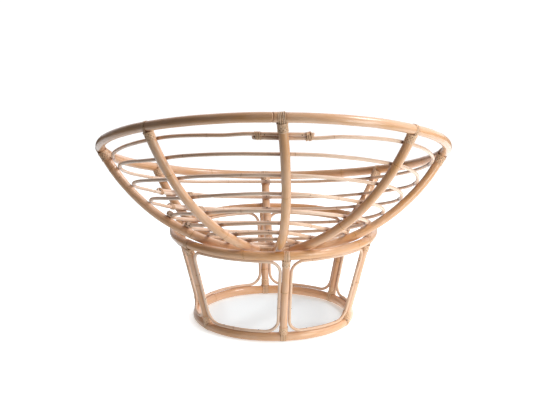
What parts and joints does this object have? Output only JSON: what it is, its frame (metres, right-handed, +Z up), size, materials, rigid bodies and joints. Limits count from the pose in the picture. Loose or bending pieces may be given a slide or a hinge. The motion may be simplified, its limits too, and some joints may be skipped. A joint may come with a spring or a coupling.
{
  "type": "papasan chair frame",
  "caption": "Round papasan chair frame in bent rattan cane: a shallow bowl seat of ribs and a spiral winding that rests loose, leaning back, in a separate flared ring stand.",
  "frame": {"origin": "on the floor, under the middle of the bowl's rim and of the whole chair", "axes": "+Z is up, the open front of the chair faces -Y, the high back of the bowl is at +Y, and +X is to the left of someone who looks at the back of the chair from behind"},
  "size_m": [1.1106, 1.0463, 0.7785],
  "materials": {
    "thick_cane": "peeled pole rattan with clear lacquer, darker at its node rings",
    "thin_cane": "thin peeled rattan with clear lacquer",
    "cane_peel": "flat strips of rattan peel, bound tight and lacquered"
  },
  "bodies": {
    "stand": {"stand_top_ring": "thick_cane", "stand_bottom_ring": "thick_cane", "stand_post_1": "thick_cane", "top_binding_1": "cane_peel", "foot_binding_1": "cane_peel", "stand_loop_1": "thin_cane", "stand_post_2": "thick_cane", "top_binding_2": "cane_peel", "foot_binding_2": "cane_peel", "stand_loop_2": "thin_cane", "stand_post_3": "thick_cane", "top_binding_3": "cane_peel", "foot_binding_3": "cane_peel", "stand_loop_3": "thin_cane", "stand_post_4": "thick_cane", "top_binding_4": "cane_peel", "foot_binding_4": "cane_peel", "stand_loop_4": "thin_cane", "stand_post_5": "thick_cane", "top_binding_5": "cane_peel", "foot_binding_5": "cane_peel", "stand_loop_5": "thin_cane", "stand_post_6": "thick_cane", "top_binding_6": "cane_peel", "foot_binding_6": "cane_peel", "stand_loop_6": "thin_cane"},
    "bowl": {"bowl_rim": "thick_cane", "bowl_hub_ring": "thick_cane", "bowl_rib_1": "thick_cane", "rim_binding_1": "cane_peel", "bowl_rib_2": "thick_cane", "rim_binding_2": "cane_peel", "bowl_rib_3": "thick_cane", "rim_binding_3": "cane_peel", "bowl_rib_4": "thick_cane", "rim_binding_4": "cane_peel", "bowl_rib_5": "thick_cane", "rim_binding_5": "cane_peel", "bowl_rib_6": "thick_cane", "rim_binding_6": "cane_peel", "bowl_rib_7": "thick_cane", "rim_binding_7": "cane_peel", "bowl_rib_8": "thick_cane", "rim_binding_8": "cane_peel", "bowl_winding_1": "thin_cane", "bowl_winding_2": "thin_cane", "bowl_winding_3": "thin_cane", "bowl_winding_4": "thin_cane", "bowl_winding_5": "thin_cane", "bowl_winding_6": "thin_cane", "splice_wrap_1_start": "cane_peel", "splice_wrap_1_end": "cane_peel", "splice_wrap_2_start": "cane_peel", "splice_wrap_2_end": "cane_peel", "splice_wrap_3_start": "cane_peel", "splice_wrap_3_end": "cane_peel", "splice_wrap_4_start": "cane_peel", "splice_wrap_4_end": "cane_peel", "splice_wrap_5_start": "cane_peel", "splice_wrap_5_end": "cane_peel"}
  },
  "joints": [
    {"name": "bowl_tilt", "type": "hinge", "parent": "stand", "child": "bowl", "pos_m": [0, -0.09915, 0.85046], "axis": [1, 0, 0], "range_deg": [-46, 6]}
  ]
}
